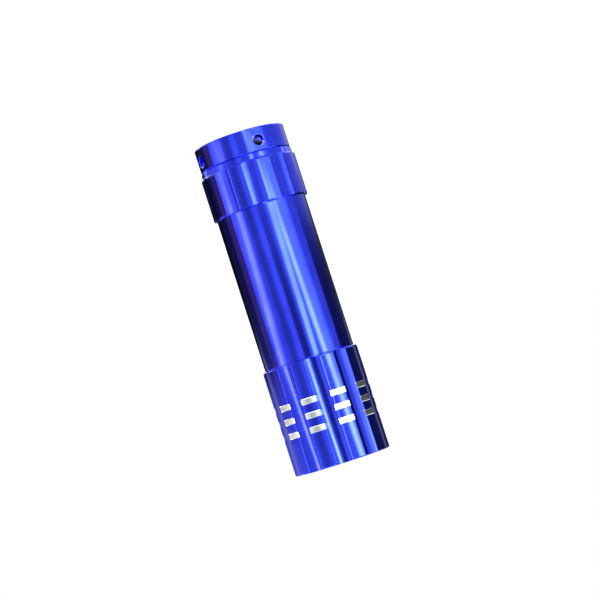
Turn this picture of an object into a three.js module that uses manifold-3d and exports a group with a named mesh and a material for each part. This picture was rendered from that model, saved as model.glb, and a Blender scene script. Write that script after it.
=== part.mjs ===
// A pocket UV curing lamp: an anodised aluminium tube with a fluted head and a fluted tail cap,
// nine 5 mm UV LEDs behind a clear lens, a click switch under a rubber boot, and three AAA cells
// in a plastic cartridge. Millimetres, +Z up. The lamp stands on the rim of its tail cap with its
// light pointing up, and the origin is the centre of that rim.

import * as THREE from "three";
import { mergeVertices } from "three/addons/utils/BufferGeometryUtils.js";
import Module from "manifold-3d";

const wasm = await Module();
wasm.setup();

// ---------------------------------------------------------------- driving dimensions

const gap = 0.2; // between pieces that rest on each other
const slip = 0.1; // radial clearance of pieces that slide or turn in each other
const freeSlip = 0.3; // radial clearance of a piece that touches nothing round it

// cells and cartridge
const cellRadius = 5.05;
const canLength = 43.5;
const canEdge = 0.4;
const nubHeight = 1.0;
const nubRadius = 1.9;
const cellSpacing = 0.2; // between neighbouring cells
const plateThickness = 1.8; // of each end of the cartridge
const stripThickness = 0.35; // of the contact strips
const stripWidth = 3.0;
const stripReach = 4.3; // from the axis to the middle of a link strip
const cellSpringHeight = 1.65; // as held between cell and strip
const cellSpringFoot = 3.2;
const cellSpringTip = 2.0;
const cellSpringWire = 0.45;
const cellSpringTurns = 2.5;
const padRadius = 3.4; // outer contact pad at each end of the cartridge
const padHeight = 0.4;
const rivetRadius = 0.9;
const rivetHeadRadius = 3.9;
const coreReach = 2.4; // of the core's corners from the axis
const ribDepth = 3.2; // of the ribs between the cells, inwards from the cartridge's skin

// tube
const tubeWall = 1.4;
const threadStep = 0.5; // from the tube's skin down to the turned-down ends
const tubeEndRoom = 0.45; // between the end of the tube and the ledge in the cap
const headThreadLength = 6.0;
const headPilot = 2.8; // plain length between the head's seal and its thread
const sealGroove = 1.2; // width of the groove that an O-ring lies in
const sealGrooveDepth = 0.55;
const sealLand = 0.5; // between that groove and the shoulder of the tube
const headSealLand = 0.8;
const sealCord = 0.26; // radius of the O-ring's cord
const jointLine = 0.2; // visible line between the tube and what screws on to it

// grips of the head and the tail cap
const gripStep = 0.78; // from the tube's skin out to the lands
const fluteCount = 10;
const landAngle = 17;
const headFluteDepth = 0.48;
const capFluteDepth = 0.44;
const edgeChamfer = 0.25;

// tail cap
const skirtStep = 0.1; // from the tube's skin out to the cap's smooth end
const skirtWall = 1.8;
const skirtDepth = 5.5; // of the recess that the button sits in
const webThickness = 1.2;
const lineHeight = 6.3; // of the turned line above the rim
const lineWidth = 0.4;
const lineDepth = 0.4;
const bandStep = 0.25; // from the tube's skin out to the band above that line
const bandEnd = 8.1;
const ledge = 1.5; // step in the cap's bore that the switch sits below
const cordHoleCount = 4;
const cordHoleRadius = 1.5;
const cordHoleHeight = 3.7;
const cordHolePhase = 69; // degrees from +X to the first hole
const capMouth = 6.4; // length of the bore that the tube screws into

// button and switch
const buttonRadius = 5.8;
const buttonWall = 1.2;
const buttonRecess = 1.0; // of the button's crown behind the rim
const crownDrop = 2.0; // height over which the crown curves into the wall
const pressTravel = 1.5;
const rimThickness = 0.8;
const housingHeight = 4.1;
const bossRadius = 6.2;
const bossHeight = 2.4;
const bossRoof = 1.0;
const plungerRadius = 2.6;
const plungerFootSlip = 0.6; // round the plunger's foot, inside the boot
const plungerFootHeight = 1.0;
const ringThickness = 1.2;
const ringSlotWidth = 2.0;
const ringSlotDepth = 0.6;
const returnSpringWire = 0.35;
const returnSpringHeight = 3.4;
const returnSpringTurns = 4;
const contactThickness = 0.3;
const contactRadius = 5.6;
const tailSpringWire = 0.8;
const tailSpringHeight = 6.3;
const tailSpringFoot = 4.6;
const tailSpringTip = 2.4;
const tailSpringTurns = 5;

// LED module
const ringLeds = 8; // round the one in the middle
const ledRadius = 2.5;
const ledFlangeStep = 0.3; // from the LED's barrel out to its flange
const ledFlangeHeight = 1.0;
const ledHeight = 8.6;
const ledSpacing = 0.2; // between the flanges of neighbouring LEDs
const pinSize = 0.5;
const pinSpread = 2.54;
const pinLength = 2.4; // below the LED's base
const pinHoleRadius = 0.5;
const boardThickness = 1.6;
const boardLift = 0.1; // of the LEDs above the board
const spacerHeight = 3.2;
const spacerWall = 2.0;
const tubeProud = 0.15; // of the end of the tube beyond the cartridge's front pad
const frontSpringWire = 0.6;
const frontSpringFoot = 2.2;
const frontSpringTip = 3.6;
const frontSpringTurns = 3;
const reflectorLift = 0.3; // of the reflector above the LEDs' flanges
const domeRoom = 0.9; // between the LEDs' domes and the front of the reflector
const cupThroat = 2.0; // length of the straight hole at the foot of each cup
const cupWall = 0.5; // between the middle cup's mouth and the others
const moduleRim = 1.12; // least rim of the reflector and the board outside the ring of LEDs
const lensThickness = 1.2;
const gasketThickness = 0.5;
const gasketWidth = 1.2;
const lipThickness = 1.1;
const lipReach = 1.3; // of the lip over the lens
const headBoreStep = 0.5; // from the thread bore in to the LED module's bore

// turned grooves that cut bright dashes into the lands of the head
const dashCount = 3;
const dashWidth = 1.6;
const dashFloor = 1.0;
const dashPitch = 3.85;
const dashDepth = 0.1;
const firstDash = 10.6; // from the back edge of the head

// smoothness of round pieces
const roundSides = 48;
const middleSides = 32;
const cellSides = 20;
const smallSides = 14;
const holeSides = 12;
const cordHoleSides = 16;
const wireSides = 6;
const coilSteps = 8; // per turn of a spring
const crownStep = 15; // degrees between the rings of the button's crown
const domeStep = 22.5; // and of an LED's dome

// ---------------------------------------------------------------- radii that follow from these

const cellAngles = [90, 210, 330];
const ribAngles = [30, 150, 270];
const cellRing = (cellRadius + cellSpacing / 2) / Math.cos(Math.PI / 6);
const plateRadius = cellRing + cellRadius;
const boreRadius = plateRadius + slip;
const ledFlangeRadius = ledRadius + ledFlangeStep;
const ledRing = (ledFlangeRadius + ledSpacing / 2) / Math.sin(Math.PI / ringLeds);
// The tube is as wide as its cells need, or as the ring of LEDs beyond its thread needs.
const tubeForCells = boreRadius + tubeWall;
const tubeForLeds = ledRing + ledFlangeRadius + moduleRim + headBoreStep + threadStep;
const tubeRadius = Math.max(tubeForCells, tubeForLeds);
const crestRadius = tubeRadius - threadStep;
const sealFloor = crestRadius - sealGrooveDepth;
const threadBore = crestRadius + slip;
const gripRadius = tubeRadius + gripStep;
const skirtRadius = tubeRadius + skirtStep;
const recessRadius = skirtRadius - skirtWall;
const bandRadius = tubeRadius + bandStep;
const webHole = buttonRadius + freeSlip;
const switchBore = threadBore - ledge;
const switchRadius = switchBore - slip;
const moduleBore = threadBore - headBoreStep;
const moduleRadius = moduleBore - slip;
const lipRadius = moduleRadius - lipReach;

// ---------------------------------------------------------------- heights, from tail to lens

const webTop = skirtDepth + webThickness;
const rimBase = webTop + gap;
const housingBase = rimBase + rimThickness + gap;
const housingTop = housingBase + housingHeight;
const bossTop = housingTop + bossHeight;
const ringBase = housingTop + gap;
const ringTop = ringBase + ringThickness;
const switchBoreTop = ringTop + gap;
const capTop = switchBoreTop + capMouth;
const bootTop = housingBase - gap - pressTravel;
const crownInside = buttonRecess + buttonWall;
const plungerBase = crownInside + gap;
const returnSpringTop = bossTop - bossRoof - gap;
const returnSpringBase = returnSpringTop - returnSpringHeight;
const plungerTop = returnSpringBase - gap;
const contactBase = bossTop + gap;
const tailSpringBase = contactBase + contactThickness + gap;

const rearPadBase = tailSpringBase + tailSpringHeight + gap;
const rearPlateBase = rearPadBase + padHeight;
const rearPlateTop = rearPlateBase + plateThickness;
const stripTop = gap / 2 + stripThickness; // above the plate that a strip lies on
const springSide = stripTop + gap + cellSpringHeight + gap;
const cellRoom = springSide + canLength + nubHeight + gap + stripTop;
const frontPlateBase = rearPlateTop + cellRoom;
const frontPlateTop = frontPlateBase + plateThickness;
const frontPadTop = frontPlateTop + padHeight;

const tubeShoulder = capTop + jointLine; // where the tube's skin begins
const capSealBase = tubeShoulder - sealLand - sealGroove;
const tubeBase = switchBoreTop + tubeEndRoom;
const tubeTop = frontPadTop + tubeProud;
const headSealBase = tubeTop - headThreadLength - headPilot - sealGroove;
const headBase = headSealBase - headSealLand;
const tubeNeck = headBase - jointLine; // where the tube's skin ends

const spacerBase = tubeTop + gap;
const spacerTop = spacerBase + spacerHeight;
const boardBase = spacerTop + gap;
const ledBase = boardBase + boardThickness + boardLift;
const reflectorBase = ledBase + ledFlangeHeight + reflectorLift;
const reflectorTop = ledBase + ledHeight + domeRoom;
const lensBase = reflectorTop + gap;
const gasketBase = lensBase + lensThickness + gap;
const lipBase = gasketBase + gasketThickness + gap;
const headTop = lipBase + lipThickness;

// ---------------------------------------------------------------- materials

function finish(color, roughness, metalness, extra = {}) {
  return new THREE.MeshStandardMaterial({ color, roughness, metalness, ...extra });
}

const anodised = finish(0x2430d8, 0.25, 1.0);
const brass = finish(0xc9a35a, 0.35, 1.0);
const nickel = finish(0xc4c6c9, 0.3, 1.0);
const blackPlastic = finish(0x18181a, 0.5, 0.0);
const whitePlastic = finish(0xe6e6e2, 0.45, 0.0);
const rubber = finish(0x141416, 0.75, 0.0);
const chromedPlastic = finish(0xe8eaee, 0.08, 1.0);
const boardMask = finish(0xe9ece8, 0.5, 0.0);
const lensClear = finish(0xf4f8ff, 0.05, 0.0, { transparent: true, opacity: 0.3 });
const ledEpoxy = finish(0xe6e0ff, 0.08, 0.0, { transparent: true, opacity: 0.6 });
const cellJacket = finish(0x3a3d44, 0.35, 0.3);

// ---------------------------------------------------------------- shape helpers

const degrees = Math.PI / 180;
const past = 1; // how far a cutting tool runs past the face that it cuts

// A closed three.js geometry as a manifold-3d solid.
function solidOf(geometry) {
  const bare = geometry.clone();
  bare.deleteAttribute("normal");
  bare.deleteAttribute("uv");
  const merged = mergeVertices(bare, 1e-4);
  return new wasm.Manifold(
    new wasm.Mesh({
      numProp: 3,
      vertProperties: merged.attributes.position.array,
      triVerts: new Uint32Array(merged.index.array),
    }),
  );
}

// A manifold-3d solid back as a three.js geometry.
function geometryOf(solid) {
  const mesh = solid.getMesh();
  const points = new Float32Array(mesh.numVert * 3);
  for (let i = 0; i < mesh.numVert; i++) {
    const from = i * mesh.numProp;
    points.set(mesh.vertProperties.subarray(from, from + 3), i * 3);
  }
  return new THREE.BufferGeometry()
    .setAttribute("position", new THREE.BufferAttribute(points, 3))
    .setIndex(new THREE.BufferAttribute(new Uint32Array(mesh.triVerts), 1));
}

function cut(body, ...tools) {
  return geometryOf(tools.reduce((rest, tool) => rest.subtract(solidOf(tool)), solidOf(body)));
}

function join(body, ...others) {
  return geometryOf(others.reduce((whole, other) => whole.add(solidOf(other)), solidOf(body)));
}

function common(one, other) {
  return geometryOf(solidOf(one).intersect(solidOf(other)));
}

// A profile of [radius, height] corners turned about +Z. It goes round counter-clockwise, with
// the radius to the right, and either closes on itself or starts and ends on the axis.
function turned(profile, sides = roundSides) {
  const points = profile.map(([radius, height]) => new THREE.Vector2(radius, height));
  if (profile[0][0] > 0) points.push(points[0].clone());
  return new THREE.LatheGeometry(points, sides).rotateX(Math.PI / 2);
}

function disc(radius, base, top, sides = roundSides) {
  return turned([[0, base], [radius, base], [radius, top], [0, top]], sides);
}

function washer(inner, outer, base, top, sides = roundSides) {
  return turned([[inner, base], [outer, base], [outer, top], [inner, top]], sides);
}

// A flat outline raised from base to top.
function raised(shape, base, top) {
  const options = { depth: top - base, bevelEnabled: false, curveSegments: 2 };
  return new THREE.ExtrudeGeometry(shape, options).translate(0, 0, base);
}

function block(sizeX, sizeY, base, top) {
  return new THREE.BoxGeometry(sizeX, sizeY, top - base).translate(0, 0, (base + top) / 2);
}

// The point at an angle in degrees round the axis.
function polar(radius, angle) {
  return [radius * Math.cos(angle * degrees), radius * Math.sin(angle * degrees)];
}

// A geometry moved sideways to a point at an angle in degrees round the axis.
function shifted(geometry, radius, angle) {
  const [x, y] = polar(radius, angle);
  return geometry.translate(x, y, 0);
}

// A coil whose radius and height change evenly from foot to tip.
class Coil extends THREE.Curve {
  constructor(footRadius, tipRadius, foot, tip, turns) {
    super();
    Object.assign(this, { footRadius, tipRadius, foot, tip, turns });
  }

  getPoint(t, target = new THREE.Vector3()) {
    const radius = THREE.MathUtils.lerp(this.footRadius, this.tipRadius, t);
    const [x, y] = polar(radius, 360 * t * this.turns);
    return target.set(x, y, THREE.MathUtils.lerp(this.foot, this.tip, t));
  }
}

// Round wire wound into a coil spring that fills the height from base to top.
function spring(footRadius, tipRadius, base, top, turns, wire) {
  const section = new THREE.Shape();
  section.absarc(0, 0, wire / 2, 0, 2 * Math.PI, false);
  const options = {
    steps: Math.round(turns * coilSteps),
    extrudePath: new Coil(footRadius, tipRadius, base + wire / 2, top - wire / 2, turns),
    curveSegments: wireSides / 2,
  };
  return new THREE.ExtrudeGeometry(section, options);
}

// Cross-section of a grip: round lands with a hollow flute between each two.
function gripOutline(depth) {
  const pitch = (2 * Math.PI) / fluteCount;
  const halfLand = (landAngle * degrees) / 2;
  const halfFlute = pitch / 2 - halfLand;
  const halfChord = gripRadius * Math.sin(halfFlute);
  const sag = depth - gripRadius * (1 - Math.cos(halfFlute));
  const fluteRadius = (halfChord ** 2 + sag ** 2) / (2 * sag);
  const fluteCentre = gripRadius - depth + fluteRadius;
  const opening = Math.asin(halfChord / fluteRadius);
  const outline = new THREE.Shape();
  for (let i = 0; i < fluteCount; i++) {
    const land = i * pitch;
    const flute = land + pitch / 2;
    outline.absarc(0, 0, gripRadius, land - halfLand, land + halfLand, false);
    outline.absarc(
      fluteCentre * Math.cos(flute),
      fluteCentre * Math.sin(flute),
      fluteRadius,
      flute + Math.PI + opening,
      flute + Math.PI - opening,
      true,
    );
  }
  return outline;
}

// ---------------------------------------------------------------- tail cap, button and switch

function tailCap() {
  const blank = turned([
    [recessRadius, 0],
    [skirtRadius - edgeChamfer, 0],
    [skirtRadius, edgeChamfer],
    [skirtRadius, lineHeight],
    [skirtRadius - lineDepth, lineHeight],
    [skirtRadius - lineDepth, lineHeight + lineWidth],
    [bandRadius, lineHeight + lineWidth],
    [bandRadius, bandEnd],
    [gripRadius + slip, bandEnd + gripStep - bandStep],
    [gripRadius + slip, capTop],
    [threadBore, capTop],
    [threadBore, switchBoreTop],
    [switchBore, switchBoreTop],
    [switchBore, webTop],
    [webHole, webTop],
    [webHole, skirtDepth],
    [recessRadius, skirtDepth],
  ]);
  const grip = raised(gripOutline(capFluteDepth), -past, capTop + past);
  const holes = Array.from({ length: cordHoleCount }, (_, i) =>
    new THREE.CylinderGeometry(cordHoleRadius, cordHoleRadius, skirtRadius, cordHoleSides)
      .rotateZ(Math.PI / 2)
      .translate(skirtRadius, 0, cordHoleHeight)
      .rotateZ((cordHolePhase + (360 * i) / cordHoleCount) * degrees),
  );
  return cut(common(blank, grip), ...holes);
}

// The crown and wall of the rubber boot, which move when it is pressed.
function buttonBoot() {
  const inner = buttonRadius - buttonWall;
  const crown = [];
  for (let angle = 0; angle <= 90; angle += crownStep) {
    const [up, across] = polar(1, angle);
    crown.push([buttonRadius * across, buttonRecess + crownDrop * (1 - up)]);
  }
  return turned(
    [...crown, [buttonRadius, bootTop], [inner, bootTop], [inner, crownInside], [0, crownInside]],
    middleSides,
  );
}

// The boot's rim, clamped between the cap's web and the switch.
function bootRim() {
  return washer(webHole, switchRadius, rimBase, rimBase + rimThickness, middleSides);
}

function switchHousing() {
  const well = plungerRadius + slip;
  const wellTop = bossTop - bossRoof;
  return turned(
    [
      [well, housingBase],
      [switchRadius, housingBase],
      [switchRadius, housingTop],
      [bossRadius, housingTop],
      [bossRadius, bossTop],
      [0, bossTop],
      [0, wellTop],
      [well, wellTop],
    ],
    middleSides,
  );
}

function switchPlunger() {
  const footRadius = buttonRadius - buttonWall - plungerFootSlip;
  const footTop = plungerBase + plungerFootHeight;
  return turned(
    [
      [0, plungerBase],
      [footRadius, plungerBase],
      [footRadius, footTop],
      [plungerRadius, footTop],
      [plungerRadius, plungerTop],
      [0, plungerTop],
    ],
    smallSides,
  );
}

function returnSpring() {
  const radius = plungerRadius - returnSpringWire;
  const [base, top] = [returnSpringBase, returnSpringTop];
  return spring(radius, radius, base, top, returnSpringTurns, returnSpringWire);
}

// The threaded ring that holds the switch down, with two slots for a pin spanner.
function retainingRing() {
  const inner = bossRadius + freeSlip;
  const ring = washer(inner, switchRadius, ringBase, ringTop);
  return cut(ring, block(3 * switchRadius, ringSlotWidth, ringTop - ringSlotDepth, ringTop + past));
}

function switchContact() {
  return disc(contactRadius, contactBase, contactBase + contactThickness, middleSides);
}

function tailSpring() {
  const [base, top] = [tailSpringBase, tailSpringBase + tailSpringHeight];
  return spring(tailSpringFoot, tailSpringTip, base, top, tailSpringTurns, tailSpringWire);
}

// ---------------------------------------------------------------- tube and seals

function bodyTube() {
  return turned([
    [boreRadius, tubeBase],
    [crestRadius, tubeBase],
    [crestRadius, capSealBase],
    [sealFloor, capSealBase],
    [sealFloor, capSealBase + sealGroove],
    [crestRadius, capSealBase + sealGroove],
    [crestRadius, tubeShoulder],
    [tubeRadius, tubeShoulder],
    [tubeRadius, tubeNeck],
    [crestRadius, tubeNeck],
    [crestRadius, headSealBase],
    [sealFloor, headSealBase],
    [sealFloor, headSealBase + sealGroove],
    [crestRadius, headSealBase + sealGroove],
    [crestRadius, tubeTop],
    [boreRadius, tubeTop],
  ]);
}

function sealRing(grooveBase) {
  const middle = (sealFloor + threadBore) / 2;
  const ring = new THREE.TorusGeometry(middle, sealCord, wireSides, middleSides);
  return ring.translate(0, 0, grooveBase + sealGroove / 2);
}

// ---------------------------------------------------------------- cells and cartridge

// Two cells point towards the lens and the second one towards the tail.
const reversed = 1;

// The rear plate with the core between the cells and the three ribs outside them.
function cartridgeFrame() {
  const top = frontPlateBase - gap;
  const foot = rearPlateTop - plateThickness / 2;
  const corners = ribAngles.map((angle) => new THREE.Vector2(...polar(coreReach, angle)));
  const core = raised(new THREE.Shape(corners), foot, top);
  const ribs = washer(plateRadius - ribDepth, plateRadius, foot, top);
  const bays = cellAngles.map((angle) =>
    shifted(disc(cellRadius + slip, foot - past, top + past, middleSides), cellRing, angle),
  );
  const plate = disc(plateRadius, rearPlateBase, rearPlateTop);
  const columns = cut(join(ribs, core), ...bays);
  return cut(join(plate, columns), rivetHole(cellAngles[0], rearPlateBase));
}

function rivetHole(angle, plateBase) {
  const [base, top] = [plateBase - past, plateBase + plateThickness + past];
  return shifted(disc(rivetRadius + slip, base, top, holeSides), cellRing, angle);
}

function frontPlate() {
  const plate = disc(plateRadius, frontPlateBase, frontPlateTop);
  return cut(plate, rivetHole(cellAngles[2], frontPlateBase));
}

// A cell's can and its positive nub, with the negative end at height 0.
function cellBody() {
  return turned(
    [
      [0, 0],
      [cellRadius - canEdge, 0],
      [cellRadius, canEdge],
      [cellRadius, canLength - canEdge],
      [cellRadius - canEdge, canLength],
      [nubRadius, canLength],
      [nubRadius, canLength + nubHeight],
      [0, canLength + nubHeight],
    ],
    cellSides,
  );
}

// Puts a piece that is made above a plate's inner face into the bay of a cell, at its
// negative end.
function atNegativeEnd(piece, index) {
  const stands =
    index === reversed
      ? piece.rotateX(Math.PI).translate(0, 0, frontPlateBase)
      : piece.translate(0, 0, rearPlateTop);
  return shifted(stands, cellRing, cellAngles[index]);
}

function cell(index) {
  return atNegativeEnd(cellBody().translate(0, 0, springSide), index);
}

// The conical spring at a cell's negative end, with its wide coil on the strip.
function cellSpring(index) {
  const base = stripTop + gap;
  const top = base + cellSpringHeight;
  const [foot, tip] = [cellSpringFoot, cellSpringTip];
  return atNegativeEnd(spring(foot, tip, base, top, cellSpringTurns, cellSpringWire), index);
}

// A strip that joins the ends of two cells and lies on the inner face of a plate.
function linkStrip(from, to, base) {
  const top = base + stripThickness;
  const ends = [from, to].map((angle) =>
    shifted(disc(rivetHeadRadius, base, top, smallSides), cellRing, angle),
  );
  const bar = block(stripWidth, 2 * cellRadius, base, top)
    .translate(stripReach, 0, 0)
    .rotateZ(((from + to) / 2) * degrees);
  return join(bar, ...ends);
}

function rearLink() {
  return linkStrip(cellAngles[1], cellAngles[2], rearPlateTop + gap / 2);
}

function frontLink() {
  return linkStrip(cellAngles[0], cellAngles[1], frontPlateBase - stripTop);
}

// A pad on the outer face of a plate, a rivet through the plate, and its wide head inside, under
// a cell. Built with the plate's outer face at height 0 and the cell above.
function terminal(angle) {
  const headBase = plateThickness + gap / 2;
  const pad = disc(padRadius, -padHeight, -gap / 2, smallSides);
  const tab = block(cellRing, 2 * rivetRadius, -padHeight, -gap / 2)
    .translate(cellRing / 2, 0, 0)
    .rotateZ(angle * degrees);
  const rivet = disc(rivetRadius, -padHeight, headBase + stripThickness / 2, holeSides);
  const head = disc(rivetHeadRadius, headBase, headBase + stripThickness, smallSides);
  return join(pad, tab, shifted(rivet, cellRing, angle), shifted(head, cellRing, angle));
}

function rearTerminal() {
  return terminal(cellAngles[0]).translate(0, 0, rearPlateBase);
}

function frontTerminal() {
  return terminal(-cellAngles[2]).rotateX(Math.PI).translate(0, 0, frontPlateTop);
}

// ---------------------------------------------------------------- head and LED module

function headShell() {
  const blank = turned([
    [threadBore, headBase],
    [gripRadius - edgeChamfer, headBase],
    [gripRadius + slip, headBase + edgeChamfer + slip],
    [gripRadius + slip, headTop - edgeChamfer - slip],
    [gripRadius - edgeChamfer, headTop],
    [lipRadius, headTop],
    [lipRadius, lipBase],
    [moduleBore, lipBase],
    [moduleBore, spacerBase],
    [threadBore, spacerBase],
  ]);
  const grip = raised(gripOutline(headFluteDepth), headBase - past, headTop + past);
  const grooves = Array.from({ length: dashCount }, (_, i) =>
    dashGroove(headBase + firstDash + i * dashPitch),
  );
  return cut(common(blank, grip), ...grooves);
}

// A shallow turned groove with sloping sides. It only reaches the lands, so it leaves dashes.
function dashGroove(height) {
  const floor = gripRadius - dashDepth;
  const outside = gripRadius + dashDepth;
  const open = dashWidth - dashFloor / 2;
  return turned([
    [floor, height - dashFloor / 2],
    [outside, height - open],
    [outside, height + open],
    [floor, height + dashFloor / 2],
  ]);
}

// The middle of each LED: one on the axis and the others in a ring.
function ledPlaces() {
  const ring = Array.from({ length: ringLeds }, (_, i) =>
    polar(ledRing, (360 * (i + 0.5)) / ringLeds),
  );
  return [[0, 0], ...ring];
}

// A 5 mm LED: flange, barrel, dome and two square pins.
function led() {
  const domeStart = ledHeight - ledRadius;
  const dome = [];
  for (let angle = 0; angle <= 90; angle += domeStep) {
    const [across, up] = polar(ledRadius, angle);
    dome.push([angle === 90 ? 0 : across, domeStart + up]);
  }
  const foot = [
    [0, 0],
    [ledFlangeRadius, 0],
    [ledFlangeRadius, ledFlangeHeight],
    [ledRadius, ledFlangeHeight],
  ];
  const pins = [-1, 1].map((side) =>
    block(pinSize, pinSize, -pinLength, pinSize).translate((side * pinSpread) / 2, 0, 0),
  );
  return join(turned([...foot, ...dome], smallSides), ...pins);
}

function ledBoard() {
  const board = disc(moduleRadius, boardBase, boardBase + boardThickness, middleSides);
  const [base, top] = [boardBase - past, boardBase + boardThickness + past];
  const hole = disc(pinHoleRadius, base, top, holeSides);
  const holes = ledPlaces().flatMap(([x, y]) =>
    [-1, 1].map((side) => hole.clone().translate(x + (side * pinSpread) / 2, y, 0)),
  );
  return cut(board, ...holes);
}

function boardSpacer() {
  return washer(moduleRadius - spacerWall, moduleRadius, spacerBase, spacerTop, middleSides);
}

function frontSpring() {
  const [base, top] = [frontPadTop + gap, boardBase - gap];
  return spring(frontSpringFoot, frontSpringTip, base, top, frontSpringTurns, frontSpringWire);
}

// A block with a cup round each LED.
function reflector() {
  const throat = ledRadius + slip;
  const ringMouth = ledFlangeRadius;
  const middleMouth = ledRing - ringMouth - cupWall;
  const cups = ledPlaces().map(([x, y], i) => {
    const mouth = i === 0 ? middleMouth : ringMouth;
    const profile = [
      [0, reflectorBase - past],
      [throat, reflectorBase - past],
      [throat, reflectorBase + cupThroat],
      [mouth, reflectorTop],
      [mouth, reflectorTop + past],
      [0, reflectorTop + past],
    ];
    return turned(profile, smallSides).translate(x, y, 0);
  });
  return cut(disc(moduleRadius, reflectorBase, reflectorTop, middleSides), ...cups);
}

function lens() {
  return disc(moduleRadius, lensBase, lensBase + lensThickness, middleSides);
}

function lensGasket() {
  const inner = moduleRadius - gasketWidth;
  return washer(inner, moduleRadius, gasketBase, gasketBase + gasketThickness, middleSides);
}

// ---------------------------------------------------------------- the lamp

const lamp = new THREE.Group();

function add(name, geometry, material) {
  const mesh = new THREE.Mesh(geometry, material);
  mesh.name = name;
  lamp.add(mesh);
}

add("tail_cap", tailCap(), anodised);
add("boot_rim", bootRim(), rubber);
add("button_boot", buttonBoot(), rubber);
add("switch_plunger", switchPlunger(), whitePlastic);
add("switch_return_spring", returnSpring(), nickel);
add("switch_housing", switchHousing(), blackPlastic);
add("switch_retaining_ring", retainingRing(), brass);
add("switch_contact", switchContact(), brass);
add("tail_contact_spring", tailSpring(), nickel);

add("body_tube", bodyTube(), anodised);
add("tail_o_ring", sealRing(capSealBase), rubber);
add("head_o_ring", sealRing(headSealBase), rubber);

add("cartridge_frame", cartridgeFrame(), blackPlastic);
add("cartridge_front_plate", frontPlate(), blackPlastic);
cellAngles.forEach((_, i) => {
  add(`cell_${i + 1}`, cell(i), cellJacket);
  add(`cell_spring_${i + 1}`, cellSpring(i), nickel);
});
add("rear_link_strip", rearLink(), nickel);
add("front_link_strip", frontLink(), nickel);
add("rear_terminal", rearTerminal(), brass);
add("front_terminal", frontTerminal(), brass);

add("head", headShell(), anodised);
add("front_contact_spring", frontSpring(), nickel);
add("board_spacer", boardSpacer(), brass);
add("led_board", ledBoard(), boardMask);
ledPlaces().forEach(([x, y], i) => {
  add(`led_${i + 1}`, led().translate(x, y, ledBase), ledEpoxy);
});
add("reflector", reflector(), chromedPlastic);
add("lens", lens(), lensClear);
add("lens_gasket", lensGasket(), rubber);

export default lamp;
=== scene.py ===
"""A pocket UV curing lamp in blue anodised aluminium, built round its CAD frame.

The lamp stands on its tail cap with its light pointing up, +Z along its axis. Shapes are worked
out in millimetres and put into their meshes in metres.
"""

import bpy
import numpy as np
from bpy.props import FloatProperty, FloatVectorProperty, PointerProperty
from bpy.types import Operator, Panel, PropertyGroup
from mathutils import Matrix, Vector


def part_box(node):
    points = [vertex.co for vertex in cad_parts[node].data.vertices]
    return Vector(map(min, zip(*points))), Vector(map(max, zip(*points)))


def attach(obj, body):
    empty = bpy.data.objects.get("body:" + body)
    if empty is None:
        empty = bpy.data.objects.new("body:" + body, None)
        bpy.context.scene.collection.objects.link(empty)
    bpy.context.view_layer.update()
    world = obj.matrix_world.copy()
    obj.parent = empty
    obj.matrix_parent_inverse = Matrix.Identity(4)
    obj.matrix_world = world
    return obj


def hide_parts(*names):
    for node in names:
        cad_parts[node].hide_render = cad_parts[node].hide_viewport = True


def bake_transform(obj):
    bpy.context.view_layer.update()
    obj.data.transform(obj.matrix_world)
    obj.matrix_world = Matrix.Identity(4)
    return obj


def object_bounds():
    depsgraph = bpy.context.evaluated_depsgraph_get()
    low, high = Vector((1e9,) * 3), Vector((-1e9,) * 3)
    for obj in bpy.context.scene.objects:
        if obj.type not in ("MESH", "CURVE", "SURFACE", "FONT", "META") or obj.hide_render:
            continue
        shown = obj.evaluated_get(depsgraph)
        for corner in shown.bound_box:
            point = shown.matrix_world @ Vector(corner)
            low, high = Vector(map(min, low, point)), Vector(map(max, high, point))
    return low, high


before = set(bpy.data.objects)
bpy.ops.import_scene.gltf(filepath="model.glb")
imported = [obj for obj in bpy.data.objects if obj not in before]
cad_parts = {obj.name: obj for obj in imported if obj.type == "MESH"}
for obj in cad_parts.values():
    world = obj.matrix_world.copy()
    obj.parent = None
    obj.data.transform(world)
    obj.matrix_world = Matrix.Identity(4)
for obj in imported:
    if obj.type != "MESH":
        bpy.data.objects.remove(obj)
CAD_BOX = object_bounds()

bl_info = {
    "name": "UV Curing Lamp",
    "version": (1, 0, 0),
    "blender": (4, 5, 0),
    "location": "3D View > Sidebar > Lamp",
    "description": "Builds a fluted aluminium UV curing lamp piece by piece",
    "category": "Object",
}

MM = 0.001
WELD = 1e-4  # millimetres within which points of one piece are the same point
SHARP_ANGLE = np.radians(34)
EASE_STEPS = 4  # sides of the curve that a corner becomes

# The grips. Angles are in degrees and lengths in millimetres, here and below.
FLUTES = 10
FLUTE_HALF_PITCH = 180 / FLUTES  # from the middle of a land to the middle of a flute
LAND_HALF_ANGLE = 8.5
GRIP_ROUND = 0.035  # rounding where a land meets a flute
LAND_TURNING = 0.015  # the turned wall stands this far inside the lands
TURNING_ROUND = 0.03  # rounding where the turned wall meets the flutes
DASH_HALF_ANGLE = 9.42  # a dash runs on a little way past its land
DASH_HALF = 0.8
DASH_FLOOR = 0.7  # half the height of the flat floor of a dash
FIRST_DASH, DASH_STEP = 10.6, 3.85

# The tail cap.
CORD_HOLES = (69.0, 159.0, 249.0, 339.0)
CORD_HOLE_RADIUS = 1.5
CORD_HOLE_HEIGHT = 3.7
CORD_HOLE_EDGE = 0.1
WINDOW_HALF_ANGLE = 10.5  # the patch of wall round a cord hole that is filled to its edge
WEB = 5.5  # where the recess ends in the web that the boot comes through
WEB_TOP = 6.7
WEB_RADIUS = 6.1
NECK_LOW, NECK_HIGH, NECK_DEPTH = 6.45, 6.55, 0.4  # the turned line round the skirt
FLARE_LOW, FLARE_HIGH = 6.72, 8.1  # between the skirt and the grip

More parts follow.
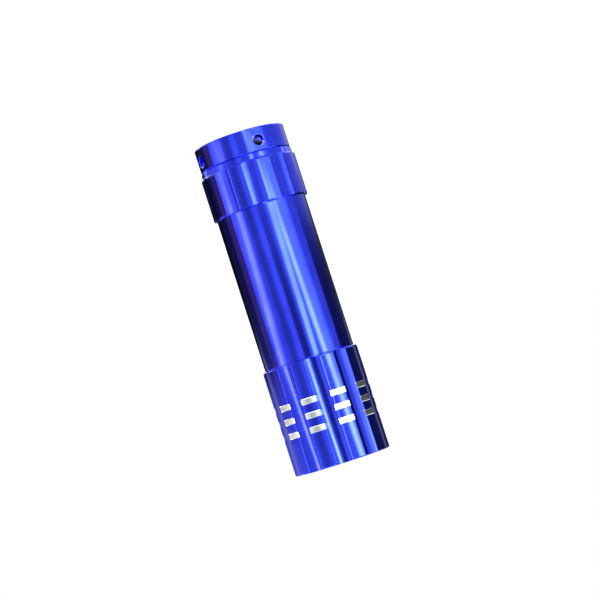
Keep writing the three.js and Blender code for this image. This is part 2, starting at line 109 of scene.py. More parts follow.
# The screw threads and the grooves for the seals.
THREAD_LENGTH = 6.1
GROOVE_DEPTH = 0.55
GROOVE_WIDTH = 1.2
WALL_SLACK = 0.01  # a point this near a wall's radius lies on that wall

# The light end.
RING_LEDS = 8
LED_HEIGHT = 8.6
LED_RADIUS = 2.5
LED_FLANGE = 2.8
LED_FLANGE_HEIGHT = 1.0
LED_FLAT = 2.52  # from an LED's axis to the flat side of its flange
REFLECTOR_THROAT = 2.6


# ---------------------------------------------------------------- places, from the frame


def foot(node):
    """Height of the lowest point of a CAD node, in millimetres."""
    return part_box(node)[0].z / MM


def top(node):
    """Height of the highest point of a CAD node, in millimetres."""
    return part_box(node)[1].z / MM


def reach(node):
    """Half the width of a CAD node that is centred on the axis, in millimetres."""
    low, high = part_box(node)
    return (high.x - low.x) / 2 / MM


def middle(node):
    """The point midway between a CAD node's sides in x and y, in millimetres."""
    low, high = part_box(node)
    return np.array([low.x + high.x, low.y + high.y]) / 2 / MM


TUBE = reach("body_tube")
CREST = TUBE - 0.5  # the turned-down ends of the tube
BORE = CREST + 0.1  # what screws over them
GRIP = reach("head")
SKIRT = TUBE + 0.1
RECESS = SKIRT - 1.8
MODULE = reach("lens")
SEAT = BORE - 1.5  # the bore that holds the switch
LIP = MODULE - 1.3
CAP_TOP = top("tail_cap")
HEAD_FOOT = foot("head")
HEAD_TOP = top("head")
TUBE_FOOT = foot("body_tube")
TUBE_TOP = top("body_tube")
LED_RING = float(np.hypot(*middle("led_2")))
DASHES = HEAD_FOOT + FIRST_DASH + DASH_STEP * np.arange(3)


# ---------------------------------------------------------------- sizes and colours


def length(name, description, default):
    return FloatProperty(
        name=name,
        description=description,
        default=default,
        min=0.0,
        precision=5,
        unit="LENGTH",
        subtype="DISTANCE",
    )


def colour(name, description, default):
    return FloatVectorProperty(
        name=name, description=description, default=default, size=3, min=0, max=1, subtype="COLOR"
    )


class LampSizes(PropertyGroup):
    """Sizes of the lamp's finer shapes. The overall sizes come from the CAD frame."""

    head_flute: length("Head flute", "Depth of the flutes of the head", 0.00048)
    cap_flute: length("Cap flute", "Depth of the flutes of the tail cap", 0.00044)
    dash_depth: length("Dash depth", "Depth of the bright dashes in the lands", 0.0001)
    edge_round: length("Edge rounding", "How far a turned edge is eased back", 0.00012)
    thread_pitch: length("Thread pitch", "Advance of the screw threads in one turn", 0.001)
    thread_depth: length("Thread depth", "Depth of the screw threads", 0.00025)
    seal_cord: length("Seal cord", "Radius of the cord of the O-rings", 0.0003)


def size(name):
    """One of the lamp's sizes in millimetres."""
    return getattr(bpy.context.scene.lamp_sizes, name) / MM


class LampColours(PropertyGroup):
    """Colours of the lamp's finishes, as linear light."""

    anodised: colour("Anodised", "Dyed anodised aluminium", (0.036, 0.060, 0.83))
    anodised_deep: colour("Anodised, deep", "Where the dye is denser", (0.029, 0.047, 0.74))
    bare: colour("Bare metal", "Aluminium where a cut went through the dye", (0.86, 0.93, 0.96))
    rubber: colour("Rubber", "Boot, seals and gasket", (0.012, 0.012, 0.014))
    brass: colour("Brass", "Contacts and the rings that hold parts down", (0.72, 0.50, 0.20))
    steel: colour("Spring steel", "Springs and strips", (0.66, 0.67, 0.69))
    black_plastic: colour("Black plastic", "Switch housing and cartridge", (0.016, 0.016, 0.018))
    white_plastic: colour("White plastic", "Switch plunger", (0.78, 0.78, 0.75))
    chrome: colour("Chromed plastic", "Reflector", (0.88, 0.89, 0.91))
    epoxy: colour("LED epoxy", "Clear epoxy of the LEDs", (0.90, 0.88, 1.0))
    lens: colour("Lens", "Clear plastic of the lens", (0.95, 0.97, 1.0))
    board: colour("Board", "Solder mask of the LED board", (0.74, 0.77, 0.73))
    jacket: colour("Cell jacket", "Printed sleeve of the cells", (0.05, 0.055, 0.07))


class LampStage(PropertyGroup):
    """The studio round the lamp."""

    floor: colour("Floor", "Colour of the floor", (0.93, 0.93, 0.93))
    wash: FloatProperty(
        name="Wash", description="Brightness of the light that reaches matt surfaces", default=1.1
    )
    boxes: FloatProperty(
        name="Light boxes", description="Brightness of the boxes seen in the metal", default=1.0
    )
    key_power: FloatProperty(
        name="Key light", description="Power of the large soft lamp", default=1.2, unit="POWER"
    )


# ---------------------------------------------------------------- surfaces from numpy


class Skin:
    """Grids of points that are welded into the skin of one piece.

    A point has x, y and z in millimetres and a fourth number, which goes into the mesh as an
    attribute named cut: how far a turned dash goes below the surface there.
    """

    def __init__(self):
        self.points, self.faces, self.count = [], [], 0

    def grid(self, points, wrap_rows=False, flip=False, keep=None, cut=None):
        """Joins point (i, j) to (i, j+1), (i+1, j+1) and (i+1, j). The last column joins the
        first, and with wrap_rows the last row does too. keep says which quads are wanted."""
        rows, columns = points.shape[:2]
        if cut is None:
            cut = np.full((rows, columns), -1.0)
        index = np.arange(rows * columns).reshape(rows, columns) + self.count
        if wrap_rows:
            index = np.vstack([index, index[:1]])
        index = np.hstack([index, index[:, :1]])
        quads = np.stack([index[:-1, :-1], index[:-1, 1:], index[1:, 1:], index[1:, :-1]], -1)
        quads = quads[keep] if keep is not None else quads.reshape(-1, 4)
        self.points.append(np.concatenate([points, cut[..., None]], -1).reshape(-1, 4))
        self.faces.append(quads[:, ::-1] if flip else quads)
        self.count += rows * columns
        return self

    def piece(self, name):
        """Welds equal points, turns quads that lost a side into triangles, drops points that no
        face uses, and links the mesh."""
        points, faces = np.vstack(self.points), np.vstack(self.faces)
        key = np.round(points[:, :3] / WELD).astype(np.int64)
        _, first, same = np.unique(key, axis=0, return_index=True, return_inverse=True)
        points, faces = points[first], same.reshape(-1)[faces]
        doubled = faces == np.roll(faces, -1, axis=1)
        lost = doubled.sum(1)
        keep, short = lost == 0, lost == 1
        used, faces = np.unique(faces, return_inverse=True)
        points, faces = points[used], faces.reshape(-1, 4)
        quads, triangles = faces[keep], faces[short][~doubled[short]].reshape(-1, 3)
        corners = np.concatenate([quads.ravel(), triangles.ravel()])
        starts = np.concatenate(
            [4 * np.arange(len(quads)), 4 * len(quads) + 3 * np.arange(len(triangles))]
        )
        mesh = bpy.data.meshes.new(name)
        mesh.vertices.add(len(points))
        mesh.vertices.foreach_set("co", (points[:, :3] * MM).ravel())
        mesh.loops.add(len(corners))
        mesh.loops.foreach_set("vertex_index", corners)
        mesh.polygons.add(len(starts))
        mesh.polygons.foreach_set("loop_start", starts)
        mesh.update(calc_edges=True)
        mesh.polygons.foreach_set("use_smooth", np.ones(len(starts), bool))
        mesh.attributes.new("cut", "FLOAT", "POINT").data.foreach_set("value", points[:, 3])
        mesh.set_sharp_from_angle(angle=SHARP_ANGLE)
        piece = bpy.data.objects.new(name, mesh)
        bpy.context.scene.collection.objects.link(piece)
        return piece


def eased(corners, closed=True):
    """Profile through corners (radius, height, ease), as an array of (radius, height).

    A corner becomes a short curve that leaves one side at its ease from the corner and joins the
    other at the same distance: (1-t)^2 start + 2t(1-t) corner + t^2 end. A further point on each
    side, at most halfway along it, keeps the side straight up to the curve. The profile goes
    round with the solid on its left.
    """
    corners = np.array(corners, float)
    place, ease = corners[:, :2], corners[:, 2:3]
    if not closed:
        ease[[0, -1]] = 0

    def beside(side, share):
        span = np.linalg.norm(side, axis=1, keepdims=True)
        return place + np.minimum(share * ease, 0.48 * span) * side / np.maximum(span, 1e-9)

    before, after = np.roll(place, 1, 0) - place, np.roll(place, -1, 0) - place
    start, end = beside(before, 1.0), beside(after, 1.0)
    t = np.linspace(0, 1, EASE_STEPS + 1)[None, :, None]
    curve = (1 - t) ** 2 * start[:, None] + 2 * t * (1 - t) * place[:, None] + t**2 * end[:, None]
    held = [beside(before, 1.7)[:, None], curve, beside(after, 1.7)[:, None]]
    line = np.concatenate(held, 1).reshape(-1, 2)
    fresh = np.linalg.norm(line - np.roll(line, 1, 0), axis=1) > 10 * WELD
    fresh[0] = True
    return line[fresh]


def straight(radius, low, high, count):
    """Points up or down a straight wall, between its ends, as corners without ease."""
    heights = np.linspace(low, high, count)
    return [(radius, height, 0) for height in heights]


def turned(profile, angles):
    """Radius and height grids of a profile at each angle: rows follow it, columns go round."""
    shape = (len(profile), len(angles))
    radius = np.broadcast_to(profile[:, :1], shape)
    height = np.broadcast_to(profile[:, 1:], shape)
    return radius.copy(), height.copy()


def placed(radius, height, angles, centre=(0.0, 0.0)):
    """Point = centre + (radius cos angle, radius sin angle), height."""
    x = centre[0] + radius * np.cos(angles)
    y = centre[1] + radius * np.sin(angles)
    return np.stack([x, y, np.broadcast_to(height, x.shape)], -1)


def even_angles(count):
    """Angles a whole number of steps of 2 pi / count from zero."""
    return 2 * np.pi * np.arange(count) / count


def round_piece(name, profile, sides, closed=True):
    """A profile turned about the lamp's axis. An open profile starts and ends on that axis."""
    angles = even_angles(sides)
    radius, height = turned(profile, angles)
    return Skin().grid(placed(radius, height, angles), wrap_rows=closed).piece(name)


def grip_angles():
    """Angles round a grip, closer together at the edges of its lands and the ends of dashes."""
    even = np.linspace(-FLUTE_HALF_PITCH, FLUTE_HALF_PITCH, 20, endpoint=False)
    edge = LAND_HALF_ANGLE + np.array([-0.6, -0.3, -0.15, 0, 0.15, 0.3, 0.6])
    dash = DASH_HALF_ANGLE + np.array([-0.15, 0, 0.15])
    one = np.unique(np.concatenate([even, edge, -edge, dash, -dash]).round(6))
    return (one + 2 * FLUTE_HALF_PITCH * np.arange(FLUTES)[:, None]).ravel()


def lesser(a, b, blend):
    """The smaller of two lengths, with the corner between them rounded off by blend."""
    return (a + b - np.sqrt((a - b) ** 2 + blend**2)) / 2


def flute_radius(angles, depth):
    """How far out a grip reaches at each angle in degrees.

    Each flute is part of a circle that meets the edges of two lands and is depth below them at
    its middle. A ray at an angle b from the flute's middle meets it at C cos b - sqrt(F^2 -
    C^2 sin^2 b), with F the circle's radius and C the distance of its centre.
    """
    half = np.radians(FLUTE_HALF_PITCH - LAND_HALF_ANGLE)
    chord = GRIP * np.sin(half)
    sag = depth - GRIP * (1 - np.cos(half))
    circle = (chord**2 + sag**2) / (2 * sag)
    centre = GRIP - depth + circle
    turned_by = (angles + FLUTE_HALF_PITCH) % (2 * FLUTE_HALF_PITCH) - FLUTE_HALF_PITCH
    beside = np.radians(FLUTE_HALF_PITCH - np.abs(turned_by))
    hollow = centre * np.cos(beside)
    hollow -= np.sqrt(np.maximum(circle**2 - (centre * np.sin(beside)) ** 2, 0))
    return lesser(np.full_like(hollow, GRIP), hollow, GRIP_ROUND)


def thread(radius, height, angles, wall, low, high, way):
    """Cuts a screw thread between two heights of the wall that has that radius.

    The cut is way * depth * a flat-topped ridge of height/pitch - angle/turn, and it fades in
    and out over one pitch at its ends.
    """
    pitch, depth = size("thread_pitch"), size("thread_depth")
    phase = (height / pitch - angles / (2 * np.pi)) % 1.0
    ridge = np.clip(1.5 - 2.6 * np.abs(2 * phase - 1), 0, 1)
    fade = np.clip((height - low) / pitch, 0, 1) * np.clip((high - height) / pitch, 0, 1)
    on_wall = (np.abs(radius - wall) < WALL_SLACK) & (height > low) & (height < high)
    return np.where(on_wall, radius + way * depth * ridge * fade, radius)


def filled(border, ring):
    """Rows of points from a border to a ring inside it: border + (ring - border) * s, with s
    going from 0 to 1."""
    return border + (ring - border) * np.linspace(0, 1, 4)[:, None, None]


def swept(path, across, other, radius, sides, phase=0.0):
    """A section carried along a path: point = path + radius (across cos a + other sin a)."""
    a = even_angles(sides) + phase
    radius = np.broadcast_to(radius, (len(path),))[:, None, None]
    ring = across[:, None] * np.cos(a)[:, None] + other[:, None] * np.sin(a)[:, None]
    body = path[:, None] + radius * ring
    ends = [np.broadcast_to(path[i], (1, sides, 3)) for i in (0, -1)]
    return np.concatenate([ends[0], body, ends[1]])


def coil_piece(name, foot_radius, tip_radius, low, high, turns, wire, centre=(0.0, 0.0), down=1):
    """Round wire along a coil: radius goes evenly from foot to tip, and height follows
    3t^2 - 2t^3 with its steepest part in the middle, so that the end turns lie flat."""
    t = np.linspace(0, 1, int(turns * 28) + 1)
    angle = 2 * np.pi * turns * t
    radius = foot_radius + (tip_radius - foot_radius) * t
    rise = 0.35 * t + 0.65 * (3 * t**2 - 2 * t**3)
    start, end = (low, high) if down > 0 else (high, low)
    start, end = start + down * wire / 2, end - down * wire / 2
    height = start + (end - start) * rise
    path = placed(radius, height, angle, centre)
    out = np.stack([np.cos(angle), np.sin(angle), 0 * angle], -1)
    up = np.broadcast_to(np.array([0.0, 0.0, 1.0]), out.shape)
    skin = Skin().grid(swept(path, out, up, wire / 2, 10), flip=True)
    return skin.piece(name)


# ---------------------------------------------------------------- shader maths


class Value:
    """An output socket that adds a Math node for each operator used on it."""

    def __init__(self, look, socket):
        self.look, self.socket = look, socket

    def math(self, operation, *operands, clamp=False):
        settings = {"operation": operation, "use_clamp": clamp}
        return self.look.node("ShaderNodeMath", settings, dict(enumerate(operands)))

    def __add__(self, other):
        return self.math("ADD", self, other)

    def __sub__(self, other):
        return self.math("SUBTRACT", self, other)

    def __rsub__(self, other):
        return self.math("SUBTRACT", other, self)

    def __mul__(self, other):
        return self.math("MULTIPLY", self, other)

    def __truediv__(self, other):
        return self.math("DIVIDE", self, other)

    def __pow__(self, other):
        return self.math("POWER", self, other)

    def __abs__(self):
        return self.math("ABSOLUTE", self)

    __radd__ = __add__
    __rmul__ = __mul__

    def clamped(self):
        return self.math("ADD", self, 0.0, clamp=True)

    def eased_between(self, low, high):
        """0 below low and 1 above high, with a smooth step between. low may be the larger."""
        settings = {"interpolation_type": "SMOOTHSTEP"}
        span = {"Value": self, "From Min": low, "From Max": high}
        if low > high:
            span.update({"From Min": high, "From Max": low, "To Min": 1.0, "To Max": 0.0})
        return self.look.node("ShaderNodeMapRange", settings, span)


class Look:
    """A node tree under construction, of a material or of the world."""

    def __init__(self, owner):
        owner.use_nodes = True
        self.tree = owner.node_tree
        self.tree.nodes.clear()

    def node(self, kind, settings=None, inputs=None, output=0):
        """Adds a node: its settings first, then a value or a link for each socket named."""
        node = self.tree.nodes.new(kind)
        for key, value in (settings or {}).items():
            setattr(node, key, value)
        for key, value in (inputs or {}).items():
            socket = node.inputs[key]
            if isinstance(value, Value):
                self.tree.links.new(value.socket, socket)
            elif socket.type == "RGBA" and len(value) == 3:
                socket.default_value = (*value, 1.0)
            else:
                socket.default_value = value
        return Value(self, node.outputs[output]) if len(node.outputs) else node

    def mix(self, factor, a, b):
        """Colour between a and b."""
        return self.node("ShaderNodeMix", {"data_type": "RGBA"}, {0: factor, 6: a, 7: b}, 2)

    def dimmed(self, shade, factor):
        """A colour times a value, kept in colour."""
        inputs = {0: shade, "Scale": factor}
        return self.node("ShaderNodeVectorMath", {"operation": "SCALE"}, inputs)

    def added(self, a, b):
        """The sum of two colours."""
        return self.node("ShaderNodeVectorMath", {"operation": "ADD"}, {0: a, 1: b})

    def place(self, scale=(1.0, 1.0, 1.0)):
        """The piece's own coordinates, in metres times scale."""
        where = self.node("ShaderNodeTexCoord", output="Object")
        return self.node("ShaderNodeMapping", {}, {"Vector": where, "Scale": scale})

    def parts(self, vector):
        """The three numbers of a vector."""
        split = self.node("ShaderNodeSeparateXYZ", {}, {0: vector})
        return [Value(self, out) for out in split.socket.node.outputs]

    def noise(self, size, stretch=(1.0, 1.0, 1.0), detail=2.0, rough=0.5):
        """Noise from 0 to 1 whose features are about size millimetres."""
        inputs = {"Vector": self.place(stretch), "Scale": 1 / (size * MM)}
        inputs.update({"Detail": detail, "Roughness": rough})
        return self.node("ShaderNodeTexNoise", {}, inputs)

    def bump(self, height, depth, strength=1.0, under=None):
        """Normals of a height from 0 to 1 that is depth millimetres deep."""
        inputs = {"Height": height, "Distance": depth * MM, "Strength": strength}
        if under is not None:
            inputs["Normal"] = under
        return self.node("ShaderNodeBump", {}, inputs)

    def surface(self, **inputs):
        """The material's Principled shader. Underscores stand for spaces in socket names."""
        named = {key.replace("_", " "): value for key, value in inputs.items()}
        shader = self.node("ShaderNodeBsdfPrincipled", {}, named)
        self.node("ShaderNodeOutputMaterial", {}, {"Surface": shader})


def shades():
    return bpy.context.scene.lamp_colours


def scaled(shade, factor):
    return tuple(float(part) * factor for part in shade)


def material(build):
    """A function decorated with this makes its material once, and returns it every time."""

    def get():
        name = "finish_" + build.__name__
        found = bpy.data.materials.get(name)
        if found is None:
            found = bpy.data.materials.new(name)
            build(Look(found))
        return found

    return get


@material
def anodised(look):
    """Blue dyed aluminium: fine turning lines, a satin grain and slow changes in the dye. The
    dashes cut through it are bare metal with a cutter's marks."""
    c = shades()
    cloud = look.noise(9.0, detail=3.0)
    dye = look.mix(cloud.eased_between(0.35, 0.7), c.anodised_deep, c.anodised)
    grain = look.noise(0.16, detail=2.0)
    lines = look.noise(0.10, stretch=(0.02, 0.02, 1.0), detail=1.0)
    drawn = look.noise(1.6, stretch=(1.0, 1.0, 0.03), detail=2.0)
    cut = look.node("ShaderNodeAttribute", {"attribute_name": "cut"}, output="Fac")
    bare = (cut * 60.0 + 0.4).clamped()  # the dye is all gone where the cut is 0.01 mm deep
    marks = look.noise(0.07, stretch=(0.05, 0.05, 1.0), detail=1.0)
    metal = look.mix(marks, scaled(c.bare, 0.9), c.bare)
    satin = 0.09 + grain * 0.04 + lines * 0.03
    cutter = 0.13 + marks * 0.06
    dyed = 1 - bare
    pebble = look.noise(0.8, stretch=(1.0, 1.0, 0.5), detail=2.0)
    under = look.bump(pebble * dyed, 0.003, 0.6, look.bump(drawn * dyed, 0.012, 0.5))
    relief = look.bump(lines * 0.6 + grain * 0.4, 0.0012, 0.5, under)
    look.surface(
        Base_Color=look.mix(bare, dye, metal),
        Metallic=1.0,
        Roughness=satin * dyed + cutter * bare,
        Normal=relief,
    )


@material
def rubber(look):
    """Black moulded rubber: a fine matt skin with a little pale dust."""
    c = shades()
    skin = look.noise(0.22, detail=4.0, rough=0.6)
    dust = look.noise(3.0, detail=4.0, rough=0.7).eased_between(0.55, 0.8)
    look.surface(
        Base_Color=look.mix(dust * 0.5, c.rubber, (0.045, 0.045, 0.048)),
        Roughness=0.55 + skin * 0.25,
        Specular_IOR_Level=0.4,
        Normal=look.bump(skin, 0.02, 0.5),
    )


def turned_metal(look, shade, smooth):
    """Metal with lathe marks, small stains and a grain of its own."""
    marks = look.noise(0.09, stretch=(0.08, 0.08, 1.0), detail=2.0)
    stain = look.noise(2.2, detail=4.0, rough=0.65).eased_between(0.45, 0.75)
    look.surface(
        Base_Color=look.mix(stain, shade, scaled(shade, 0.72)),
        Metallic=1.0,
        Roughness=smooth + marks * 0.12 + stain * 0.1,
        Normal=look.bump(marks, 0.004, 0.6),
    )


@material
def brass(look):
    """Turned brass, slightly tarnished."""
    turned_metal(look, shades().brass, 0.2)


@material
def steel(look):
    """Nickel-plated spring steel with drawing marks."""
    turned_metal(look, shades().steel, 0.16)


def moulded(look, shade, gloss):
    """Injection-moulded plastic: a spark-eroded grain with soft unevenness."""
    grain = look.noise(0.14, detail=3.0, rough=0.6)
    flow = look.noise(5.0, detail=2.0).eased_between(0.3, 0.75)
    look.surface(
        Base_Color=look.mix(flow, scaled(shade, 0.86), shade),
        Roughness=gloss + grain * 0.18,
        Normal=look.bump(grain, 0.012, 0.5),
    )


@material
def black_plastic(look):
    """Black moulded plastic."""
    moulded(look, shades().black_plastic, 0.38)


@material
def white_plastic(look):
    """White moulded plastic."""
    moulded(look, shades().white_plastic, 0.34)


@material
def chromed_plastic(look):
    """Vacuum-metallised plastic: mirror bright, with a faint orange peel."""
    c = shades()
    peel = look.noise(0.9, detail=2.0)
    haze = look.noise(3.5, detail=3.0).eased_between(0.4, 0.8)
    look.surface(
        Base_Color=look.mix(haze, c.chrome, scaled(c.chrome, 0.93)),
        Metallic=1.0,
        Roughness=0.05 + haze * 0.06,
        Normal=look.bump(peel, 0.01, 0.35),
    )


@material
def lens_clear(look):
    """Clear moulded acrylic with faint wiping marks."""
    c = shades()
    wiped = look.noise(1.2, stretch=(1.0, 0.15, 1.0), detail=3.0)
    look.surface(
        Base_Color=look.mix(wiped * 0.2, c.lens, scaled(c.lens, 0.96)),
        Roughness=0.02 + wiped * 0.03,
        Transmission_Weight=1.0,
        IOR=1.49,
    )


@material
def led_epoxy(look):
    """Clear cast epoxy of an LED, with a trace of violet and small flow lines."""
    c = shades()
    flow = look.noise(1.1, detail=3.0)
    look.surface(
        Base_Color=look.mix(flow, c.epoxy, scaled(c.epoxy, 0.95)),
        Roughness=0.03 + flow * 0.04,
        Transmission_Weight=1.0,
        IOR=1.54,
    )


@material
def board(look):
    """White solder mask over glass cloth."""
    c = shades()
    x, y, _ = look.parts(look.place())
    thread_turn = 2 * np.pi / (0.5 * MM)  # a thread of the cloth every half millimetre
    warp, weft = (along.math("SINE", along * thread_turn) for along in (x, y))
    cloth = warp * weft * 0.5 + 0.5
    speck = look.noise(0.5, detail=3.0)
    look.surface(
        Base_Color=look.mix(speck, scaled(c.board, 0.88), c.board),
        Roughness=0.32 + speck * 0.15,
        Normal=look.bump(cloth, 0.01, 0.4),
    )


@material
def cell_jacket(look):
    """Dark printed sleeve with a bronze-coloured collar at its positive end."""
    c = shades()
    _, _, z = look.parts(look.place())
    low, high = foot("cell_1") * MM, top("cell_1") * MM
    collar_start = low + 0.72 * (high - low)
    band = z.eased_between(collar_start, collar_start + 0.1 * MM)
    film = look.noise(1.4, detail=3.0)
    sleeve = look.mix(film, c.jacket, scaled(c.jacket, 1.4))
    look.surface(
        Base_Color=look.mix(band, sleeve, (0.42, 0.22, 0.09)),
        Metallic=0.3 + band * 0.5,
        Roughness=0.24 + film * 0.14,
        Normal=look.bump(film, 0.02, 0.3),
    )


# ---------------------------------------------------------------- putting pieces on bodies


def fit_out(piece, finish, body=None, replaces=()):
    """Gives a piece its finish, its body and the CAD nodes that it stands for."""
    piece.data.materials.clear()
    piece.data.materials.append(finish)
    if body:
        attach(piece, body)
    if replaces:
        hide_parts(*replaces)
    return piece


def refinish(finish, *nodes):
    """Puts a finish on CAD nodes whose shape stays as it is."""
    for name in nodes:
        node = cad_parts[name]
        if not node.material_slots:
            node.data.materials.append(finish)
        for held in node.material_slots:
            held.material = finish


class LampStep(Operator):
    """What the steps of building the lamp have in common."""

    bl_options = {"REGISTER", "UNDO"}


class LAMP_OT_tail_cap(LampStep):
    """Builds the fluted tail cap with its cord holes, recess and screw thread"""

    bl_idname = "lamp.tail_cap"
    bl_label = "Tail Cap"

    def execute(self, context):
        seat_top = TUBE_FOOT - 0.45
        outer = np.linspace(1.8, 5.6, 15)
        inner = np.linspace(5.32, 2.0, 15)
        profile = self.profile(seat_top, outer, inner)
        span = np.linspace(-WINDOW_HALF_ANGLE, WINDOW_HALF_ANGLE, 17)
        windows = (np.array(CORD_HOLES)[:, None] + span).ravel()
        grip = grip_angles() % 360
        grip = grip[self.from_hole(grip) > WINDOW_HALF_ANGLE + 0.3]
        degrees = np.unique(np.concatenate([grip, windows % 360]).round(6))
        angles = np.radians(degrees)
        radius, height = turned(profile, angles)
        grip_radius = flute_radius(degrees, size("cap_flute"))[None, :] + LAND_TURNING
        outside = (height > FLARE_HIGH - 0.05) & (radius > BORE + 0.3)
        radius = np.where(outside, lesser(radius, grip_radius, TURNING_ROUND), radius)
        radius = thread(radius, height, angles, BORE, seat_top + 0.3, CAP_TOP - 0.5, 1)

        on_skirt = self.on_wall(profile, SKIRT, outer)
        on_recess = self.on_wall(profile, RECESS, inner)
        middle_of_quad = (degrees + np.roll(degrees, -1)) / 2
        middle_of_quad[-1] = (degrees[-1] + 360 + degrees[0]) / 2
        in_window = self.from_hole(middle_of_quad) < WINDOW_HALF_ANGLE
        keep = np.ones((len(profile), len(angles)), bool)
        for wall in (on_skirt, on_recess):
            inside = wall & np.roll(wall, -1)
            keep &= ~(inside[:, None] & in_window[None, :])
        skin = Skin()
        skin.grid(placed(radius, height, angles), wrap_rows=True, keep=keep)
        skirt_rows, recess_rows = np.sort(profile[on_skirt, 1]), np.sort(profile[on_recess, 1])
        for hole in CORD_HOLES:
            self.cord_hole(skin, hole, np.radians(span), skirt_rows, recess_rows)
        cap = skin.piece("tail_cap_shell")
        fit_out(cap, anodised(), "tail", ("tail_cap",))
        return {"FINISHED"}

    @staticmethod
    def profile(seat_top, outer, inner):
        """Skirt, neck line, flare, grip, threaded bore, seat of the switch, web and recess."""
        ease = size("edge_round")
        flare = FLARE_HIGH + GRIP - TUBE - 0.32
        return eased(
            [
                (RECESS, 0, ease),
                (SKIRT, 0, 2.2 * ease),
                *straight(SKIRT, outer[0], outer[-1], len(outer)),
                (SKIRT, NECK_LOW - 0.17, 0.06),
                (SKIRT - NECK_DEPTH, NECK_LOW, 0.05),
                (SKIRT - NECK_DEPTH, NECK_HIGH, 0.05),
                (TUBE + 0.18, FLARE_LOW, 0.06),
                (TUBE + 0.32, FLARE_HIGH, 0.06),
                (GRIP, flare, 0.1),
                *straight(GRIP, 9.5, CAP_TOP - 1, 8),
                (GRIP, CAP_TOP, ease),
                (BORE, CAP_TOP, ease),
                *straight(BORE, CAP_TOP - 0.5, seat_top + 0.3, 64),
                (BORE, seat_top, 0.02),
                (SEAT, seat_top, 0.05),
                (SEAT, WEB_TOP, 0.02),
                (WEB_RADIUS, WEB_TOP, 0.1),
                (WEB_RADIUS, WEB, 0.15),
                (RECESS, WEB, 0.15),
                *straight(RECESS, inner[0], inner[-1], len(inner)),
            ]
        )

    @staticmethod
    def from_hole(degrees):
        """How far each angle is from the nearest cord hole, in degrees."""
        away = (degrees[:, None] - np.array(CORD_HOLES) + 180) % 360 - 180
        return np.abs(away).min(1)

    @staticmethod
    def on_wall(profile, radius, heights):
        """Whether each point of a profile lies on the part of a wall that has windows."""
        near = np.abs(profile[:, 0] - radius) < 1e-6
        low, high = min(heights) - 1e-6, max(heights) + 1e-6
        return near & (profile[:, 1] > low) & (profile[:, 1] < high)

    @staticmethod
    def cord_hole(skin, hole, span, skirt_rows, recess_rows):
        """A hole straight through the rim: on each wall a fill from the window's border to the
        mouth of the hole, then an eased edge, and a bore between the two. A loop's points are
        (radius cos t, radius sin t) across the hole's own axis, bent on to the wall by
        angle = arcsin(radius cos t / wall)."""
        turn = np.radians(hole)

        def border(rows):
            """The window's border as (angle, height), once round."""
            sides = (
                (span[:-1], np.full(len(span) - 1, rows[0])),
                (np.full(len(rows) - 1, span[-1]), rows[:-1]),
                (span[:0:-1], np.full(len(span) - 1, rows[-1])),
                (np.full(len(rows) - 1, span[0]), rows[:0:-1]),
            )
            return np.concatenate([np.stack(side, -1) for side in sides]) + (turn, 0)

        def ring(across, wall):
            bend = np.arcsin(across * np.cos(t) / wall) + turn
            return np.stack([bend, CORD_HOLE_HEIGHT + across * np.sin(t)], -1)

        outline = border(skirt_rows)
        t = np.arctan2(
            outline[:, 1] - CORD_HOLE_HEIGHT, SKIRT * np.sin(outline[:, 0] - turn)
        )
        bore = []
        for wall, rows, way in ((SKIRT, skirt_rows, 1), (RECESS, recess_rows, -1)):
            mouth = ring(CORD_HOLE_RADIUS + CORD_HOLE_EDGE, wall)
            flat = filled(border(rows), mouth)
            skin.grid(placed(wall, flat[..., 1], flat[..., 0]), flip=way < 0)
            for share, inward in ((1.0, 0.0), (0.3, 0.3), (0.0, 1.0)):
                depth = wall - way * inward * CORD_HOLE_EDGE
                loop = ring(CORD_HOLE_RADIUS + share * CORD_HOLE_EDGE, depth)
                bore.append(placed(depth, loop[:, 1], loop[:, 0]))
        skin.grid(np.stack(bore[:3] + bore[:2:-1]))


class LAMP_OT_boot(LampStep):
    """Builds the rubber boot over the switch: crown, rolled wall and clamped flange"""

    bl_idname = "lamp.boot"
    bl_label = "Rubber Boot"

    def execute(self, context):
        crown, low, high = foot("button_boot"), foot("boot_rim"), top("boot_rim")
        radius, inside = reach("button_boot"), reach("button_boot") - 1.2
        edge = reach("boot_rim") - 0.02
        bend = np.linspace(0, np.pi / 2, 22)
        dome = [(radius * np.sin(a), crown + 2.0 * (1 - np.cos(a)), 0) for a in bend]
        profile = eased(
            [
                *dome,
                *straight(radius, crown + 2.2, low - 1.4, 10),
                (radius, low - 0.35, 0.3),
                (radius + 0.42, low, 0.15),
                (edge, low, 0.1),
                (edge, high, 0.1),
                (radius + 0.1, high, 0.25),
                (inside, low - 0.6, 0.3),
                *straight(inside, low - 1.4, crown + 2.6, 8),
                (inside, crown + 1.2, 0.5),
                (0, crown + 1.2, 0),
            ],
            closed=False,
        )
        boot = round_piece("switch_boot", profile, 128, closed=False)
        fit_out(boot, rubber(), replaces=("button_boot", "boot_rim"))
        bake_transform(boot)
        return {"FINISHED"}


class LAMP_OT_switch(LampStep):
    """Finishes the switch inside the cap and winds its springs"""

    bl_idname = "lamp.switch"
    bl_label = "Switch"

    def execute(self, context):
        refinish(white_plastic(), "switch_plunger")
        refinish(black_plastic(), "switch_housing")
        refinish(brass(), "switch_retaining_ring", "switch_contact")
        low, high = foot("switch_return_spring"), top("switch_return_spring")
        coil = coil_piece("return_spring_coil", 2.25, 2.25, low, high, 4, 0.35)
        fit_out(coil, steel(), replaces=("switch_return_spring",))
        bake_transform(coil)
        low, high = foot("tail_contact_spring"), top("tail_contact_spring")
        coil = coil_piece("tail_spring_coil", 4.6, 2.4, low, high, 5, 0.8)
        fit_out(coil, steel(), replaces=("tail_contact_spring",))
        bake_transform(coil)
        return {"FINISHED"}


